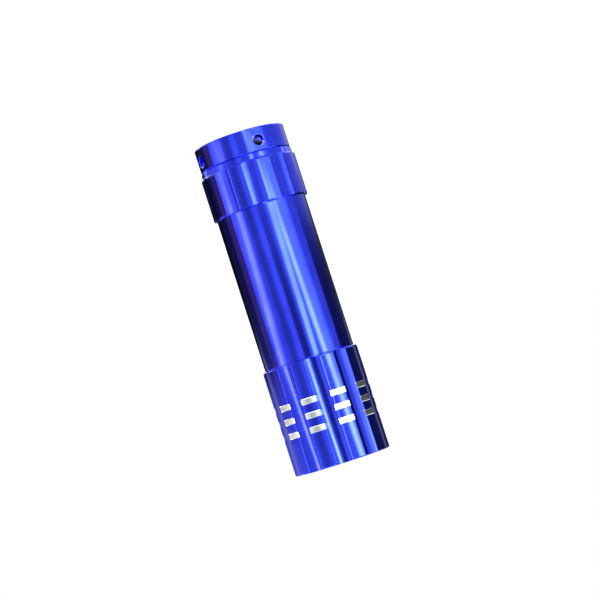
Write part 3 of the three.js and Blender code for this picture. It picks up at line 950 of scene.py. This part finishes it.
class LAMP_OT_tube(LampStep):
    """Builds the drawn body tube with a screw thread and a seal groove at each end"""

    bl_idname = "lamp.tube"
    bl_label = "Body Tube"

    def execute(self, context):
        bore = CREST - 0.901
        ease = size("edge_round")
        floor = CREST - GROOVE_DEPTH
        shoulder, neck = CAP_TOP + 0.2, HEAD_FOOT - 0.2
        tail_groove, head_groove = shoulder - 1.7, HEAD_FOOT + 0.8
        angles = even_angles(256)
        profile = eased(
            [
                (bore, TUBE_FOOT, 0.2),
                (CREST, TUBE_FOOT, 0.25),
                *straight(CREST, TUBE_FOOT + 0.3, tail_groove - 0.2, 44),
                (CREST, tail_groove, 0.06),
                (floor, tail_groove, 0.05),
                (floor, tail_groove + GROOVE_WIDTH, 0.05),
                (CREST, tail_groove + GROOVE_WIDTH, 0.06),
                (CREST, shoulder, 0.03),
                (TUBE, shoulder, ease),
                *straight(TUBE, shoulder + 1, neck - 1, 24),
                (TUBE, neck, ease),
                (CREST, neck, 0.03),
                (CREST, head_groove, 0.06),
                (floor, head_groove, 0.05),
                (floor, head_groove + GROOVE_WIDTH, 0.05),
                (CREST, head_groove + GROOVE_WIDTH, 0.06),
                *straight(CREST, TUBE_TOP - 6.0, TUBE_TOP - 0.3, 58),
                (CREST, TUBE_TOP, 0.25),
                (bore, TUBE_TOP, 0.2),
            ]
        )
        radius, height = turned(profile, angles)
        for low, high in (
            (TUBE_FOOT + 0.2, tail_groove - 0.15),
            (TUBE_TOP - THREAD_LENGTH, TUBE_TOP - 0.25),
        ):
            radius = thread(radius, height, angles, CREST, low, high, -1)
        tube = Skin().grid(placed(radius, height, angles), wrap_rows=True).piece("tube_shell")
        fit_out(tube, anodised(), "barrel", ("body_tube",))
        return {"FINISHED"}


class LAMP_OT_seals(LampStep):
    """Builds the two O-rings in the grooves of the tube"""

    bl_idname = "lamp.seals"
    bl_label = "O-rings"

    def execute(self, context):
        cord = size("seal_cord")
        ring = CREST - GROOVE_DEPTH + cord + 0.01
        a = even_angles(20)
        for name, node, body in (
            ("tail_seal_ring", "tail_o_ring", "tail_seal"),
            ("head_seal_ring", "head_o_ring", "barrel"),
        ):
            # A ring of round section: radius = ring + cord cos a, height = centre + cord sin a.
            centre = (foot(node) + top(node)) / 2
            profile = np.stack([ring + cord * np.cos(a), centre + cord * np.sin(a)], -1)
            seal = round_piece(name, profile, 160)
            fit_out(seal, rubber(), body, (node,))
        return {"FINISHED"}


class LAMP_OT_cartridge(LampStep):
    """Finishes the cells and their cartridge, and winds the springs between them"""

    bl_idname = "lamp.cartridge"
    bl_label = "Cell Cartridge"

    def execute(self, context):
        refinish(black_plastic(), "cartridge_frame", "cartridge_front_plate")
        refinish(cell_jacket(), "cell_1", "cell_2", "cell_3")
        refinish(steel(), "rear_link_strip", "front_link_strip")
        refinish(brass(), "rear_terminal", "front_terminal")
        for index in (1, 2, 3):
            node = f"cell_spring_{index}"
            centre = middle(f"cell_{index}")
            way = -1 if index == 2 else 1
            coil = coil_piece(
                f"cell_coil_{index}", 3.2, 2.0, foot(node), top(node), 2.5, 0.45, centre, way
            )
            fit_out(coil, steel(), "cartridge", (node,))
        return {"FINISHED"}


class LAMP_OT_head(LampStep):
    """Builds the fluted head with its bright dashes, screw thread and front lip"""

    bl_idname = "lamp.head"
    bl_label = "Head"

    def execute(self, context):
        degrees = grip_angles()
        angles = np.radians(degrees)
        ease, depth = size("edge_round"), size("dash_depth")
        dashes = []
        for centre in DASHES:
            dashes += [
                (GRIP, centre - DASH_HALF - 0.04, 0),
                (GRIP, centre - DASH_HALF, 0.02),
                (GRIP - depth, centre - DASH_FLOOR, 0.02),
                (GRIP - depth, centre + DASH_FLOOR, 0.02),
                (GRIP, centre + DASH_HALF, 0.02),
                (GRIP, centre + DASH_HALF + 0.04, 0),
            ]
        profile = eased(
            [
                (BORE, HEAD_FOOT, 0.15),
                (GRIP - 0.25, HEAD_FOOT, 0.08),
                (GRIP, HEAD_FOOT + 0.25, 0.08),
                *straight(GRIP, HEAD_FOOT + 1, DASHES[0] - 1.5, 5),
                *dashes,
                *straight(GRIP, DASHES[-1] + 1.5, HEAD_TOP - 1, 5),
                (GRIP, HEAD_TOP - 0.25, 0.08),
                (GRIP - 0.25, HEAD_TOP, 0.08),
                (LIP, HEAD_TOP, 2 * ease),
                (LIP, HEAD_TOP - 1.1, 0.05),
                (MODULE + 0.1, HEAD_TOP - 1.1, 0.02),
                (MODULE + 0.1, foot("board_spacer"), 0.02),
                (BORE, foot("board_spacer"), 0.02),
                *straight(BORE, TUBE_TOP - 0.1, TUBE_TOP - THREAD_LENGTH, 52),
            ]
        )
        radius, height = turned(profile, angles)
        outside = radius > BORE + 0.3
        grip_radius = flute_radius(degrees, size("head_flute"))[None, :] + LAND_TURNING
        surface = np.broadcast_to(grip_radius, radius.shape)
        # A dash is a floor at depth with a slope up to the land above and below it. The cut is
        # how far that lies under the fluted surface, so it ends by itself in the flutes.
        slope = depth / (DASH_HALF - DASH_FLOOR)
        nearest = np.abs(height[..., None] - DASHES).min(-1)
        dash_floor = GRIP - depth + np.maximum(nearest - DASH_FLOOR, 0) * slope
        in_row = outside & (nearest < DASH_HALF + 0.01)
        cut = np.where(in_row, np.minimum(surface, GRIP) - dash_floor, -1.0)
        radius = np.where(outside, lesser(radius, surface, TURNING_ROUND), radius)
        low, high = TUBE_TOP - THREAD_LENGTH, TUBE_TOP - 0.1
        radius = thread(radius, height, angles, BORE, low, high, 1)
        points = placed(radius, height, angles)
        head = Skin().grid(points, wrap_rows=True, cut=cut).piece("head_barrel")
        fit_out(head, anodised(), "head_shell", ("head",))
        return {"FINISHED"}


class LAMP_OT_reflector(LampStep):
    """Builds the chromed reflector with a cup round each LED"""

    bl_idname = "lamp.reflector"
    bl_label = "Reflector"

    def execute(self, context):
        low, high = foot("reflector"), top("reflector")
        edge = 0.1
        centre_mouth, ring_mouth = LED_RING - 3.3, 2.8
        parting = (LED_RING - ring_mouth + centre_mouth) / 2
        skin = Skin()
        # The border of one LED's sector, once round, in the frame of an LED on the x axis.
        half = np.pi / RING_LEDS
        across, along = 16, 10
        sweep = np.linspace(-half, half, across + 1)
        outward = np.linspace(parting, MODULE - edge, along + 1)
        sides = (
            (np.full(across, parting), sweep[:-1]),
            (outward[:-1], np.full(along, half)),
            (np.full(across, MODULE - edge), sweep[:0:-1]),
            (outward[:0:-1], np.full(along, -half)),
        )
        sector_radius, sector_angle = (np.concatenate(part) for part in zip(*sides))
        loop = placed(sector_radius, 0.0, sector_angle)[::-1, :2]
        away = loop - np.array([LED_RING, 0.0])
        facing = np.arctan2(away[:, 1], away[:, 0])
        bearings = half + 2 * half * np.arange(RING_LEDS)
        around = even_angles(RING_LEDS * across) - half + bearings[0]

        def wall(radius, height, bearing, centre=(0.0, 0.0)):
            rows, columns = (len(radius), 1), (len(radius), len(bearing))
            radius = np.broadcast_to(np.reshape(radius, rows), columns)
            height = np.broadcast_to(np.reshape(height, rows), columns)
            return placed(radius, height, bearing, centre)

        def cup(mouth, bearing, centre):
            """Wall of a cup: straight at its throat, then radius = throat + (mouth - throat)
            sqrt(t) up to an eased edge at its mouth. Returns its lowest and highest loops."""
            throat, straight_top = REFLECTOR_THROAT, low + 2.0
            t = np.linspace(0, 1, 12)[1:]
            flare = throat + (mouth - throat) * np.sqrt(t)
            rise = straight_top + (high - edge - straight_top) * t
            radius = [throat + edge, throat, throat, *flare, mouth + 0.3 * edge, mouth + edge]
            height = [low, low + edge, straight_top, *rise, high - 0.3 * edge, high]
            points = wall(radius, height, bearing, centre)
            skin.grid(points, flip=True)
            return (points[0], low, True), (points[-1], high, False)

        for ring, z, under in cup(centre_mouth, around, (0.0, 0.0)):
            rim = placed(np.full(len(around), parting), z, around)
            skin.grid(np.stack([ring, rim]), flip=not under)
        for bearing in bearings:
            x, y = np.cos(bearing), np.sin(bearing)
            turn = np.array([[x, y], [-y, x]])
            for ring, z, under in cup(ring_mouth, facing + bearing, (LED_RING * x, LED_RING * y)):
                border = np.concatenate([loop @ turn, np.full((len(loop), 1), z)], -1)
                skin.grid(filled(border, ring), flip=under)
        rim = MODULE - edge
        skin.grid(wall([rim, MODULE, MODULE, rim], [low, low + edge, high - edge, high], around))
        bowl = skin.piece("reflector_bowl")
        fit_out(bowl, chromed_plastic(), "led_module", ("reflector",))
        return {"FINISHED"}


class LAMP_OT_leds(LampStep):
    """Builds the nine LEDs: epoxy bodies, lead frames and pins, and finishes their board"""

    bl_idname = "lamp.leds"
    bl_label = "LEDs"

    def execute(self, context):
        refinish(board(), "led_board")
        refinish(brass(), "board_spacer")
        low, high = foot("front_contact_spring"), top("front_contact_spring")
        coil = coil_piece("front_spring_coil", 2.2, 3.6, low, high, 3, 0.6)
        fit_out(coil, steel(), "led_module", ("front_contact_spring",))
        for index in range(1, RING_LEDS + 2):
            node = f"led_{index}"
            self.bulb(index, node, middle(node))
            self.frame_of(index, node, middle(node))
        return {"FINISHED"}

    def bulb(self, index, node, centre):
        """Flange with one flat side, barrel and half-round dome, turned about the LED's axis. On
        the flange the radius is the lesser of the turned one and flat / cos(angle)."""
        tip, r = top(node), LED_RADIUS
        base = tip - LED_HEIGHT
        step = base + LED_FLANGE_HEIGHT
        bend = np.linspace(0, np.pi / 2, 18)
        profile = eased(
            [
                (0, base, 0),
                (LED_FLANGE, base, 0.12),
                (LED_FLANGE, step, 0.15),
                (r, step, 0.05),
                *((r * np.cos(a), tip - r + r * np.sin(a), 0) for a in bend[:-1]),
                (0, tip, 0),
            ],
            closed=False,
        )
        angles = even_angles(64)
        radius, height = turned(profile, angles)
        flat = LED_FLAT / np.maximum(np.cos(angles), 0.01)
        radius = np.where(height < step + WALL_SLACK, np.minimum(radius, flat), radius)
        skin = Skin().grid(placed(radius, height, angles, centre))
        bulb = skin.piece(f"led_bulb_{index}")
        fit_out(bulb, led_epoxy(), "led_module", (node,))

    def frame_of(self, index, node, centre):
        """Two square pins that run up into the epoxy, carried along bent paths, with the cup
        that holds the die turned on top of one of them."""
        base = top(node) - LED_HEIGHT
        skin = Skin()
        routes = (
            [(-1.27, -2.4), (-1.27, 1.6), (-0.9, 2.4), (-0.3, 3.0), (-0.3, 3.4)],
            [(1.27, -2.4), (1.27, 2.6), (1.15, 3.4), (0.95, 4.3), (0.95, 4.5)],
        )
        for route in routes:
            side, up = np.array(route).T
            path = np.stack([centre[0] + side, np.full(len(side), centre[1]), base + up], -1)
            x, y = (np.tile(axis, (len(path), 1)) for axis in np.eye(3)[:2])
            skin.grid(swept(path, x, y, 0.25 * np.sqrt(2), 4, np.pi / 4))
        cup = eased(
            [
                (0, 3.3, 0),
                (0.75, 3.3, 0.05),
                (0.95, 4.2, 0.03),
                (0.82, 4.2, 0.03),
                (0.42, 3.75, 0.03),
                (0, 3.75, 0),
            ],
            closed=False,
        )
        angles = even_angles(28)
        radius, height = turned(cup, angles)
        skin.grid(placed(radius, height + base, angles, centre - np.array([0.3, 0.0])))
        leads = skin.piece(f"led_leads_{index}")
        fit_out(leads, steel(), "led_module")


class LAMP_OT_lens(LampStep):
    """Builds the clear front lens and the gasket that seals it under the head's lip"""

    bl_idname = "lamp.lens"
    bl_label = "Lens"

    def execute(self, context):
        low, high = foot("lens"), top("lens")
        corners = [(0, low, 0), (MODULE, low, 0.15), (MODULE, high, 0.15), (0, high, 0)]
        disc = round_piece("lens_disc", eased(corners, closed=False), 160, closed=False)
        fit_out(disc, lens_clear(), "led_module", ("lens",))
        low, high = foot("lens_gasket"), top("lens_gasket")
        inner = MODULE - 1.2
        corners = [(inner, low, 0.2), (MODULE, low, 0.2), (MODULE, high, 0.2), (inner, high, 0.2)]
        ring = round_piece("lens_gasket_ring", eased(corners), 160)
        fit_out(ring, rubber(), "led_module", ("lens_gasket",))
        return {"FINISHED"}


# ---------------------------------------------------------------- studio

# Light boxes round the lamp, as seen in its metal. A row has the bearing of the box's middle,
# its half width and its softness in degrees, its strength for red, green and blue, the
# elevations between which it shows, and its lean in degrees of bearing for each degree of
# elevation. Bearings run clockwise from the side that the main view looks from.
BOXES = (
    (18.5, 6.5, 2.5, (5.8, 6.9, 7.2), -7.8, -0.9, -0.9),
    (19.0, 4.0, 4.0, (14.0, 15.5, 15.8), -1.2, 50, -0.9),
    (20.7, 4.5, 4.0, (6.0, 6.5, 6.7), -7.8, -6.3, -0.9),
    (16.5, 4.0, 3.0, (5.8, 6.9, 7.2), -60, -7.9, 0.0),
    (45.2, 5.0, 3.0, (11.5, 12.0, 12.2), -6.6, 50, 1.6),
    (43.0, 5.0, 3.0, (5.2, 5.4, 5.6), -60, -14, 0.0),
    (59.0, 11.0, 12.0, (1.9, 2.1, 2.2), -60, 50, 0.8),
    (-74.0, 7.5, 6.0, (6.4, 4.6, 5.0), -7.8, -1.4, -2.5),
    (-74.0, 3.5, 4.0, (12.0, 9.6, 9.8), -1.4, 50, -2.5),
    (-68.0, 6.0, 6.0, (2.6, 2.0, 2.2), -60, -7.9, 0.0),
    (-79.0, 6.0, 5.0, (0.7, 0.5, 0.5), -60, 50, 0.0),
    (-16.0, 6.0, 6.0, (0.45, 0.45, 0.45), -60, 50, 0.0),
    (-97.0, 9.0, 5.0, (0.75, 0.20, 0.13), -60, -0.6, 0.0),
    (-140.0, 7.0, 6.0, (0.75, 0.72, 0.72), -1.6, 50, 0.0),
    (147.0, 5.0, 4.0, (0.35, 0.35, 0.35), -2.0, 50, 0.0),
    (133.0, 6.0, 2.5, (4.6, 5.0, 5.2), -33, -13, 0.0),
    (-134.0, 7.0, 3.0, (6.6, 6.8, 7.0), -33, -13, 0.0),
    (178.0, 12.0, 7.0, (1.6, 1.8, 1.8), -70, -13, 0.0),
    (112.0, 5.0, 3.0, (3.0, 3.4, 3.6), -50, -13, 0.0),
    (165.0, 5.0, 2.5, (2.6, 2.8, 2.9), -75, -37, 0.0),
    (-160.0, 6.0, 3.0, (3.4, 3.5, 3.6), -75, -37, 0.0),
)
# Dark boards in front of the wash: the same, with the share of the wash that a board takes
# away in place of a strength, and without a lean.
BOARDS = (
    (-1.0, 8.0, 5.0, 0.74, -5.2, 50),
    (-34.0, 7.0, 8.0, 0.40, -60, 50),
    (122.0, 31.0, 3.0, 0.91, -5.6, 60),
    (-128.0, 42.0, 5.0, 0.93, -12, -0.6),
    (-168.0, 34.0, 8.0, 0.86, -11.5, 60),
    (160.0, 14.0, 8.0, 0.80, -7, 60),
)
WASH = 0.85  # brightness of the studio between the boxes
FACING = 272.25  # degrees from +X to the side that the main view looks from
LOWER_EDGE = 0.9  # degrees either way in which a box or board comes in
UPPER_EDGE, UPPER_EDGE_HIGH = 0.5, 10.0  # and goes out, below and above the horizon
OVERHEAD = (45.0, 75.0)  # elevations between which the light from above comes in
OVERHEAD_STRENGTH = 2.4

# Places in the studio, in metres.
# Painted shade under the lamp: the floor's glow is off inside the first radius and fully on
# beyond the second.
PAINTED_SHADE_RADII = (10.8 * MM, 12.4 * MM)  # the floor's own light comes in between these radii
KEY_LIGHT = Vector((-0.35, -0.45, 0.75))
KEY_SIZE = 0.5
CAMERA_AWAY, CAMERA_HEIGHT = 0.5, 0.074
TARGET = Vector((0, 0, 0.046))  # what the camera looks at, halfway up the lamp
TARGET_RIGHT, TARGET_UP = 0.00259, -0.0002  # and how far beside it
LAMP_SLANT = np.array([0.307, 0.952])  # the way to the lamp's light end, right and down


def panorama(look, strength):
    """Colour of the studio by direction: an even wash, less what the boards take away, plus
    what the boxes add, each a product of smooth steps in bearing and elevation."""
    direction = look.node("ShaderNodeTexCoord", output="Generated")
    x, y, z = look.parts(direction)
    degree = np.pi / 180
    polar = y.math("ARCTAN2", y, x)
    bearing = (FACING * degree - polar) / degree
    elevation = z.math("ARCSINE", z) / degree
    shade = look.node("ShaderNodeCombineXYZ", {}, {0: WASH, 1: WASH, 2: WASH})

    def window(bearing_at, half, soft, low, high, lean=0.0):
        away = bearing - bearing_at - elevation * lean
        offset = away.math("WRAP", away, 180.0, -180.0)
        across = abs(offset).eased_between(half + soft / 2, half - soft / 2)
        rise = elevation.eased_between(low - LOWER_EDGE, low + LOWER_EDGE)
        soften = UPPER_EDGE_HIGH if high > 0 else UPPER_EDGE
        fall = elevation.eased_between(high + soften, high - soften)
        return across * rise * fall

    for bearing_at, half, soft, taken, low, high in BOARDS:
        left = 1 - window(bearing_at, half, soft, low, high) * taken
        shade = look.dimmed(shade, left)
    for bearing_at, half, soft, tint, low, high, lean in BOXES:
        glow = window(bearing_at, half, soft, low, high, lean) * strength
        shade = look.added(shade, look.dimmed(tint, glow))
    overhead = elevation.eased_between(*OVERHEAD) * OVERHEAD_STRENGTH
    return look.added(shade, look.dimmed((1.0, 1.0, 1.0), overhead))


class LAMP_OT_stage(LampStep):
    """Builds the floor, the soft lights and the camera"""

    bl_idname = "lamp.stage"
    bl_label = "Stage"

    def execute(self, context):
        stage = context.scene.lamp_stage
        self.floor(stage)
        self.studio(stage)
        self.camera()
        context.scene.view_settings.view_transform = "Standard"
        return {"FINISHED"}

    @staticmethod
    def floor(stage):
        """A round floor: point = (radius cos angle, radius sin angle, just under the lamp)."""
        level = CAD_BOX[0][2] / MM - 0.02
        rings = np.array([[radius, level] for radius in (0.0, 40, 120, 400, 1200, 4000)])
        angles = even_angles(96)
        floor = Skin().grid(placed(*turned(rings, angles), angles), flip=True)
        floor = floor.piece("studio_floor")
        finish = bpy.data.materials.new("studio_floor")
        look = Look(finish)
        speck = look.noise(30.0, detail=3.0)
        x, y, _ = look.parts(look.place())
        away = (x * x + y * y) ** 0.5
        look.surface(
            Base_Color=look.mix(speck, scaled(stage.floor, 0.58), scaled(stage.floor, 0.6)),
            Roughness=0.9,
            Specular_IOR_Level=0.0,
            # The glow is left off under the lamp, which paints the shade where the lamp stands.
            Emission_Color=look.mix(
                away.eased_between(*PAINTED_SHADE_RADII), (0.0, 0.0, 0.0), tuple(stage.floor)
            ),
            Emission_Strength=0.62,
        )
        floor.data.materials.append(finish)
        floor.visible_glossy = False

    @staticmethod
    def studio(stage):
        """White behind the lamp, an even wash on matt surfaces, and the panorama in metal."""
        world = bpy.data.worlds.new("studio")
        bpy.context.scene.world = world
        look = Look(world)
        glossy, through, direct = (
            look.node("ShaderNodeLightPath", output=f"Is {kind} Ray")
            for kind in ("Glossy", "Transmission", "Camera")
        )
        wash = look.mix(direct, (stage.wash,) * 3, (1.0, 1.0, 1.0))
        mirrored = (glossy + through).clamped()
        shade = look.mix(mirrored, wash, panorama(look, stage.boxes))
        back = look.node("ShaderNodeBackground", {}, {"Color": shade, "Strength": 1.0})
        look.node("ShaderNodeOutputWorld", {}, {"Surface": back})
        light = bpy.data.lights.new("key_light", "AREA")
        light.shape = "DISK"
        light.size, light.energy = KEY_SIZE, stage.key_power
        lamp = bpy.data.objects.new("key_light", light)
        bpy.context.scene.collection.objects.link(lamp)
        away = KEY_LIGHT - Vector((0, 0, 0.04))
        turn = away.to_track_quat("Z", "Y").to_matrix().to_4x4()
        lamp.matrix_world = Matrix.Translation(KEY_LIGHT) @ turn
        lamp.visible_glossy = False
        lamp.visible_transmission = False

    @staticmethod
    def camera():
        """A long lens on the lamp's lower side, turned so that the lamp lies aslant with its
        light end down."""
        data = bpy.data.cameras.new("view")
        data.lens, data.sensor_width = 111.0, 36.0
        data.clip_start, data.clip_end = 0.01, 20.0
        angle = np.radians(FACING)
        away = CAMERA_AWAY * np.array([np.cos(angle), np.sin(angle)])
        place = Vector((*away, CAMERA_HEIGHT))
        ahead = (TARGET - place).normalized()
        up = (Vector((0, 0, 1)) - ahead * ahead.z).normalized()
        side = ahead.cross(up)
        over, down = (float(part) for part in LAMP_SLANT / np.hypot(*LAMP_SLANT))
        right = over * up - down * side
        upward = -down * up - over * side
        ahead = (TARGET + TARGET_RIGHT * right + TARGET_UP * upward - place).normalized()
        right = (right - ahead * right.dot(ahead)).normalized()
        upward = right.cross(ahead).normalized()
        turn = Matrix((right, upward, -ahead)).transposed().to_4x4()
        camera = bpy.data.objects.new("view", data)
        bpy.context.scene.collection.objects.link(camera)
        camera.matrix_world = Matrix.Translation(place) @ turn
        bpy.context.scene.camera = camera


# ---------------------------------------------------------------- add-on

STEPS = (
    LAMP_OT_stage,
    LAMP_OT_tail_cap,
    LAMP_OT_boot,
    LAMP_OT_switch,
    LAMP_OT_tube,
    LAMP_OT_seals,
    LAMP_OT_cartridge,
    LAMP_OT_head,
    LAMP_OT_reflector,
    LAMP_OT_leds,
    LAMP_OT_lens,
)
GROUPS = {"lamp_sizes": LampSizes, "lamp_colours": LampColours, "lamp_stage": LampStage}


class LAMP_PT_panel(Panel):
    """Lists the steps that build the lamp"""

    bl_idname = "LAMP_PT_panel"
    bl_label = "UV Curing Lamp"
    bl_space_type = "VIEW_3D"
    bl_region_type = "UI"
    bl_category = "Lamp"

    def draw(self, context):
        layout = self.layout
        for group in GROUPS:
            settings = getattr(context.scene, group)
            box = layout.box()
            for name in settings.__annotations__:
                box.prop(settings, name)
        for step in STEPS:
            layout.operator(step.bl_idname)


def register():
    for item in (*GROUPS.values(), *STEPS, LAMP_PT_panel):
        bpy.utils.register_class(item)
    for name, group in GROUPS.items():
        setattr(bpy.types.Scene, name, PointerProperty(type=group))


def unregister():
    for name in GROUPS:
        delattr(bpy.types.Scene, name)
    for item in reversed((*GROUPS.values(), *STEPS, LAMP_PT_panel)):
        bpy.utils.unregister_class(item)


def main():
    register()
    for step in STEPS:
        group, name = step.bl_idname.split(".")
        getattr(getattr(bpy.ops, group), name)()


if __name__ == "__main__":
    main()
